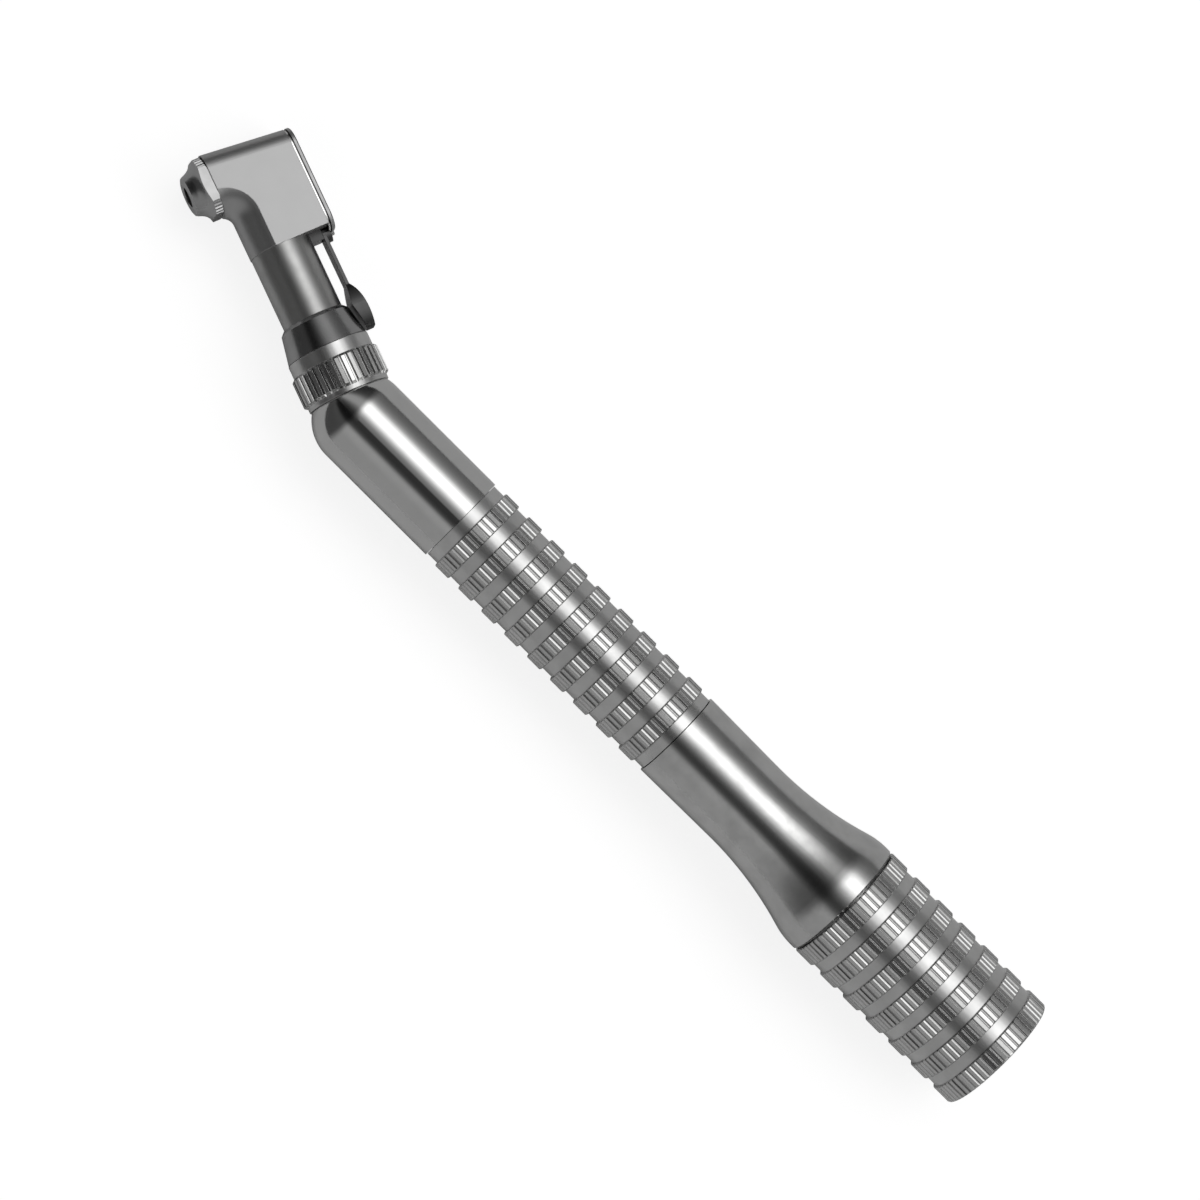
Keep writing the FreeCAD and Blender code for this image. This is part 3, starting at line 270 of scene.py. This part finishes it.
def dress(paint, *names):
    """Gives CAD nodes their finish."""
    for name in names:
        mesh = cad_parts[name].data
        mesh.materials.clear()
        mesh.materials.append(paint)


def mesh_from(maker, name):
    """The mesh that a bmesh has built, with the bmesh freed."""
    mesh = bpy.data.meshes.new(name)
    maker.to_mesh(mesh)
    maker.free()
    return mesh


def join_rings(maker, rings):
    """Faces between neighbouring rings of points, with the last joined to the first."""
    for first, second in zip(rings, rings[1:] + rings[:1]):
        for index in range(len(first)):
            after = (index + 1) % len(first)
            maker.faces.new((first[index], first[after], second[after], second[index]))
    bmesh.ops.recalc_face_normals(maker, faces=maker.faces)


def stand_in(name, mesh, paint, body, node):
    """Shows a mesh instead of a CAD node, smooth but for its sharp edges."""
    for face in mesh.polygons:
        face.use_smooth = True
        face.material_index = 0
    mesh.set_sharp_from_angle(angle=SHARP_ANGLE)
    mesh.materials.clear()
    mesh.materials.append(paint)
    made = bpy.data.objects.new(name, mesh)
    bpy.context.scene.collection.objects.link(made)
    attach(made, body)
    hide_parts(node)


def fluted_turning(name, outside, inside, flutes, shares, place):
    """The mesh of a turned tube with fluted bands.

    outside holds (station, land radius, flute radius) and inside (station, radius),
    in mm. shares are the places of land, land, flute and flute in one flute's pitch.
    """
    stations = [(x, (land, land, cut, cut)) for x, land, cut in outside]
    stations += [(x, (radius,) * 4) for x, radius in inside]
    maker = bmesh.new()
    rings = []
    for x, radii in stations:
        ring = []
        for flute in range(flutes):
            for share, radius in zip(shares, radii):
                angle = 2 * math.pi * (flute + share) / flutes
                point = Vector((x, radius * math.cos(angle), radius * math.sin(angle))) * MM
                ring.append(maker.verts.new(place @ point))
        rings.append(ring)
    join_rings(maker, rings)
    return mesh_from(maker, name)


SHARP_ANGLE = math.radians(24)
KNURL_PITCH = 4.5
SLEEVE_LAND, SLEEVE_FLUTE, SLEEVE_FLOOR = 9.55, 9.4, 9.15
sleeve_steel = steel("sleeve_steel", (0.6, 0.6, 0.595), 0.2, band=(SLEEVE_FLOOR, SLEEVE_LAND))
sleeve_outside = [(0.0, 9.25, 9.2), (0.1, 9.43, 9.3), (0.3, SLEEVE_LAND, SLEEVE_FLUTE)]
for index in range(6):
    end = 4.9 + KNURL_PITCH * index
    sleeve_outside += [
        (end - 1.96, SLEEVE_LAND, SLEEVE_FLUTE),
        (end - 1.82, 9.38, 9.3),
        (end - 1.78, SLEEVE_FLOOR, SLEEVE_FLOOR),
        (end - 0.14, SLEEVE_FLOOR, SLEEVE_FLOOR),
        (end - 0.1, 9.38, 9.3),
        (end + 0.04, SLEEVE_LAND, SLEEVE_FLUTE),
    ]
sleeve_outside += [(30.18, SLEEVE_LAND, SLEEVE_FLUTE), (30.32, 9.4, 9.2), (30.34, 9.1, 9.1)]
sleeve_inside = [
    (30.34, 8.42), (25.9, 8.42), (25.9, 7.0), (24.2, 7.0), (24.2, 8.0), (21.2, 8.0), (21.2, 8.55),
    (20.0, 8.55), (20.0, 8.0), (0.3, 8.0), (0.0, 8.15),
]
sleeve_mesh = fluted_turning("rear_sleeve_fluted", sleeve_outside, sleeve_inside, 62,
                             (0.0, 0.52, 0.7, 0.82), HANDLE_PLACE)
stand_in("rear_sleeve_fluted", sleeve_mesh, sleeve_steel, "handpiece", "rear_sleeve")

# Motor coupling: a split spring ring in the rear bore clicks on to the motor's
# nose. It is bright drawn wire, sprung into its groove.
spring_steel = steel("spring_steel", (0.5, 0.49, 0.47), 0.18, lines=0.4)
dress(spring_steel, "motor_snap_ring")

# Waist sleeve: one turned piece, flared at the rear and slim in the middle,
# brushed satin all over. It is screwed up against both of its neighbours.
waist_steel = steel("waist_steel", (0.59, 0.59, 0.585), 0.19, lines=0.09, line_depth=0.2,
                    stain=0.14)
dress(waist_steel, "waist_sleeve")

# Front grip: nine narrow fluted bands between two plain collars, blasted matt
# in its grooves. It is pressed over the waist sleeve and the bent shank.
GRIP_LAND, GRIP_FLUTE, GRIP_FLOOR = 7.03, 6.88, 6.57
grip_steel = steel("grip_steel", (0.6, 0.6, 0.595), 0.2, band=(GRIP_FLOOR, GRIP_LAND))
grip_outside = [
    (63.56, 6.4, 6.4), (63.6, 6.6, 6.6), (65.19, 6.6, 6.6), (65.25, GRIP_FLOOR, GRIP_FLOOR),
]
for index in range(9):
    start = 65.25 + KNURL_PITCH * index
    grip_outside += [
        (start + 0.02, 6.84, 6.76),
        (start + 0.16, GRIP_LAND, GRIP_FLUTE),
        (start + 2.54, GRIP_LAND, GRIP_FLUTE),
        (start + 2.68, 6.84, 6.76),
        (start + 2.7, GRIP_FLOOR, GRIP_FLOOR),
    ]
    if index < 8:
        grip_outside.append((start + KNURL_PITCH, GRIP_FLOOR, GRIP_FLOOR))
grip_outside += [(105.76, GRIP_FLOOR, GRIP_FLOOR), (105.8, 6.45, 6.45)]
grip_inside = [(105.8, 5.6), (63.56, 5.6)]
grip_mesh = fluted_turning("front_grip_fluted", grip_outside, grip_inside, 46,
                           (0.0, 0.48, 0.68, 0.8), HANDLE_PLACE)
stand_in("front_grip_fluted", grip_mesh, grip_steel, "handpiece", "front_grip")

# Bent shank: a mirror-polished tube that ends in a ball elbow, with a flat
# mouth that takes the neck. Its spigot is pressed into the front grip.
polished_steel = steel("polished_steel", (0.6, 0.6, 0.595), 0.12, lines=0.3, line_depth=0.05,
                       stain=0.05)
dress(polished_steel, "bent_shank")

# Lock ring: a knurled ring that turns on the neck's stub to free the neck. It
# has forty coarse flutes between a bevel at the elbow and a bright plain lip.
NECK_PLACE = (
    Matrix.Translation((125.4 * MM, 0, 0))
    @ Matrix.Rotation(math.radians(14.2), 4, "X")
    @ Matrix.Rotation(math.radians(-20.4), 4, "Z")
)
RING_LAND, RING_FLUTE, RING_LIP = 6.45, 6.1, 6.0
ring_steel = steel("ring_steel", (0.58, 0.58, 0.575), 0.2, NECK_PLACE, band=(RING_LIP, RING_LAND))
ring_outside = [
    (3.73, 5.94, 5.94), (3.79, RING_LIP, RING_LIP), (4.4, RING_LIP, RING_LIP),
    (4.75, RING_LAND, RING_FLUTE), (8.55, RING_LAND, RING_FLUTE), (8.86, 6.1, 6.04),
    (8.92, RING_LIP, RING_LIP), (10.78, RING_LIP, RING_LIP), (10.84, 5.94, 5.94),
]
ring_inside = [(10.84, 4.39), (3.73, 4.39)]
ring_mesh = fluted_turning("lock_ring_fluted", ring_outside, ring_inside, 40,
                           (0.0, 0.5, 0.66, 0.84), NECK_PLACE)
stand_in("lock_ring_fluted", ring_mesh, ring_steel, "lock", "lock_ring")

# Neck: a slim satin tube with a dark polished cone pressed on behind it. The
# cone keeps the lock ring on the stub.
collar_steel = steel("collar_steel", (0.37, 0.37, 0.37), 0.22, NECK_PLACE, line_depth=0.1)
dress(collar_steel, "neck_collar")
neck_steel = steel("neck_steel", (0.44, 0.44, 0.435), 0.36, NECK_PLACE, lines=0.08, line_depth=0.2)
dress(neck_steel, "neck_tube")

# Head: one casting with milled flats at its sides and a satin finish. It is
# brazed on to the neck tube, where a fine line shows.
head_steel = steel("head_steel", (0.42, 0.42, 0.42), 0.38, NECK_PLACE, lines=0.5, line_depth=0.1,
                   edge=0.14, stain=0.01)
dress(head_steel, "head_housing")

# Back plates: a bright guide plate holds the latch arm in its pocket, and a
# dull cover plate closes it. The pivot screw holds both on the head. The dark
# lines on both plates are painted shade where the slot and the gaps lie.
guide_steel = steel("guide_steel", (0.75, 0.75, 0.74), 0.14, NECK_PLACE, lines=0.4, line_depth=0.05,
                    gap_shades=[(7.15, 7.4)])
dress(guide_steel, "latch_guide_plate")
cover_steel = steel("cover_steel", (0.4, 0.4, 0.4), 0.35, NECK_PLACE, lines=0.4, edge=0.03,
                    gap_shades=[(7.2, 7.34), (7.74, 7.95)])
dress(cover_steel, "back_cover")

# Latch: a spring-steel lever with a leaf-shaped thumb pad swings about a screw
# in the pivot block, and its thin arm locks the bur behind the spindle.
lever_steel = steel("lever_steel", (0.08, 0.08, 0.08), 0.3, NECK_PLACE, lines=0.5, edge=0.1)
dress(lever_steel, "latch_lever")
block_steel = steel("block_steel", (0.07, 0.07, 0.07), 0.35, NECK_PLACE, lines=0.5)
dress(block_steel, "latch_pivot_block")
screw_steel = steel("screw_steel", (0.5, 0.5, 0.49), 0.22, NECK_PLACE)
dress(screw_steel, "latch_pivot_pin")

# Nose cap: a dark turned ring, bevelled at the back, with a hollow cone round
# the bur's hole. Its four flats and the toothed corners between take a wrench.
def turned_mesh(name, profile, sides):
    """A closed mesh turned about the y axis from (radius, y) pairs in mm."""
    maker = bmesh.new()
    rings = []
    for radius, along in profile:
        angles = [2 * math.pi * side / sides for side in range(sides)]
        points = [Vector((radius * math.cos(a), along, radius * math.sin(a))) for a in angles]
        rings.append([maker.verts.new(point) for point in points])
    join_rings(maker, rings)
    return mesh_from(maker, name)


def blocks_mesh(name, blocks):
    """One mesh of separate blocks, each a matrix applied to a unit cube."""
    maker = bmesh.new()
    for block in blocks:
        bmesh.ops.create_cube(maker, size=1.0, matrix=block)
    return mesh_from(maker, name)


def carved(solid, cutter, place):
    """The solid mesh less the cutter mesh, both in mm, as one mesh in its place."""
    piece = bpy.data.objects.new("solid", solid)
    tool = bpy.data.objects.new("cutter", cutter)
    for item in (piece, tool):
        bpy.context.scene.collection.objects.link(item)
    cut = piece.modifiers.new("cut", "BOOLEAN")
    cut.operation = "DIFFERENCE"
    cut.solver = "EXACT"
    cut.use_self = True
    cut.object = tool
    graph = bpy.context.evaluated_depsgraph_get()
    mesh = bpy.data.meshes.new_from_object(piece.evaluated_get(graph))
    for item in (piece, tool):
        bpy.data.objects.remove(item)
    mesh.transform(place @ Matrix.Scale(MM, 4))
    return mesh


HEAD_PLACE = NECK_PLACE @ Matrix.Translation((38.1 * MM, 0, 0))
CAP_FLAT, CAP_REACH, CAP_RING_MIDDLE = 4.15, 4.9, 6.5
CAP_TEETH, TOOTH_PITCH, NOTCH = 5, 6.2, 0.23
cap_steel = steel("cap_steel", (0.4, 0.4, 0.4), 0.26, NECK_PLACE, lines=0.5, edge=0.03)
cap_profile = [
    (3.0, 3.5), (3.55, 3.5), (3.55, 5.3), (4.6, 5.3), (CAP_REACH, 5.5), (CAP_REACH, 6.5),
    (4.45, 6.65), (4.0, 6.88), (3.6, 7.2), (3.3, 7.58), (3.1, 8.0), (2.95, 8.4), (2.8, 8.66),
    (2.45, 8.8), (1.55, 8.8), (1.45, 8.7), (1.45, 7.55), (3.0, 7.55),
]
cap_cuts = []
for quarter in range(4):
    square = Matrix.Rotation(math.radians(90 * quarter), 4, "Y")
    beyond = Matrix.Translation((CAP_FLAT + 1, CAP_RING_MIDDLE, 0))
    cap_cuts.append(square @ beyond @ Matrix.Diagonal((2, 4, 8, 1)))
    for tooth in range(CAP_TEETH):
        corner = 90 * quarter + 45 + TOOTH_PITCH * (tooth - CAP_TEETH // 2)
        spoke = Matrix.Rotation(math.radians(corner), 4, "Y")
        rim = Matrix.Translation((CAP_REACH, CAP_RING_MIDDLE, 0))
        notch = Matrix.Rotation(math.radians(45), 4, "Y") @ Matrix.Diagonal((NOTCH, 3, NOTCH, 1))
        cap_cuts.append(spoke @ rim @ notch)
cap_mesh = carved(turned_mesh("nose_cap_turning", cap_profile, 144),
                  blocks_mesh("nose_cap_cuts", cap_cuts), HEAD_PLACE)
stand_in("nose_cap_toothed", cap_mesh, cap_steel, "handpiece", "nose_cap")

# Spindle: a hardened tube in the head, seen through the nose hole. It turns in
# bronze bushes, and the bur's shank slides into it.
gear_steel = steel("gear_steel", (0.5, 0.49, 0.47), 0.26, lines=0.3)
dress(gear_steel, "spindle", "spindle_gear")
bronze = steel("bush_bronze", (0.62, 0.43, 0.24), 0.34, lines=0.2)
dress(bronze, "spindle_back_bush", "spindle_nose_bush")

# Drive train: a shaft with a fork dog in two shielded bearings, a planetary
# stage, and gears at the elbow and in the head. Oil leaves them darker.
bearing_steel = steel("bearing_steel", (0.58, 0.58, 0.57), 0.12, lines=0.3, line_depth=0.05)
dress(bearing_steel, "rear_bearing_outer_ring", "rear_bearing_inner_ring",
      "front_bearing_outer_ring", "front_bearing_inner_ring")
dress(gear_steel, "input_shaft", "ring_gear", "planet_gear_1", "planet_gear_2", "planet_gear_3",
      "planet_carrier", "drive_crown_gear", "neck_shaft", "neck_crown_gear", "neck_bevel_gear")
dress(bronze, "carrier_rear_bush", "carrier_front_bush", "neck_rear_bush", "neck_front_bush")
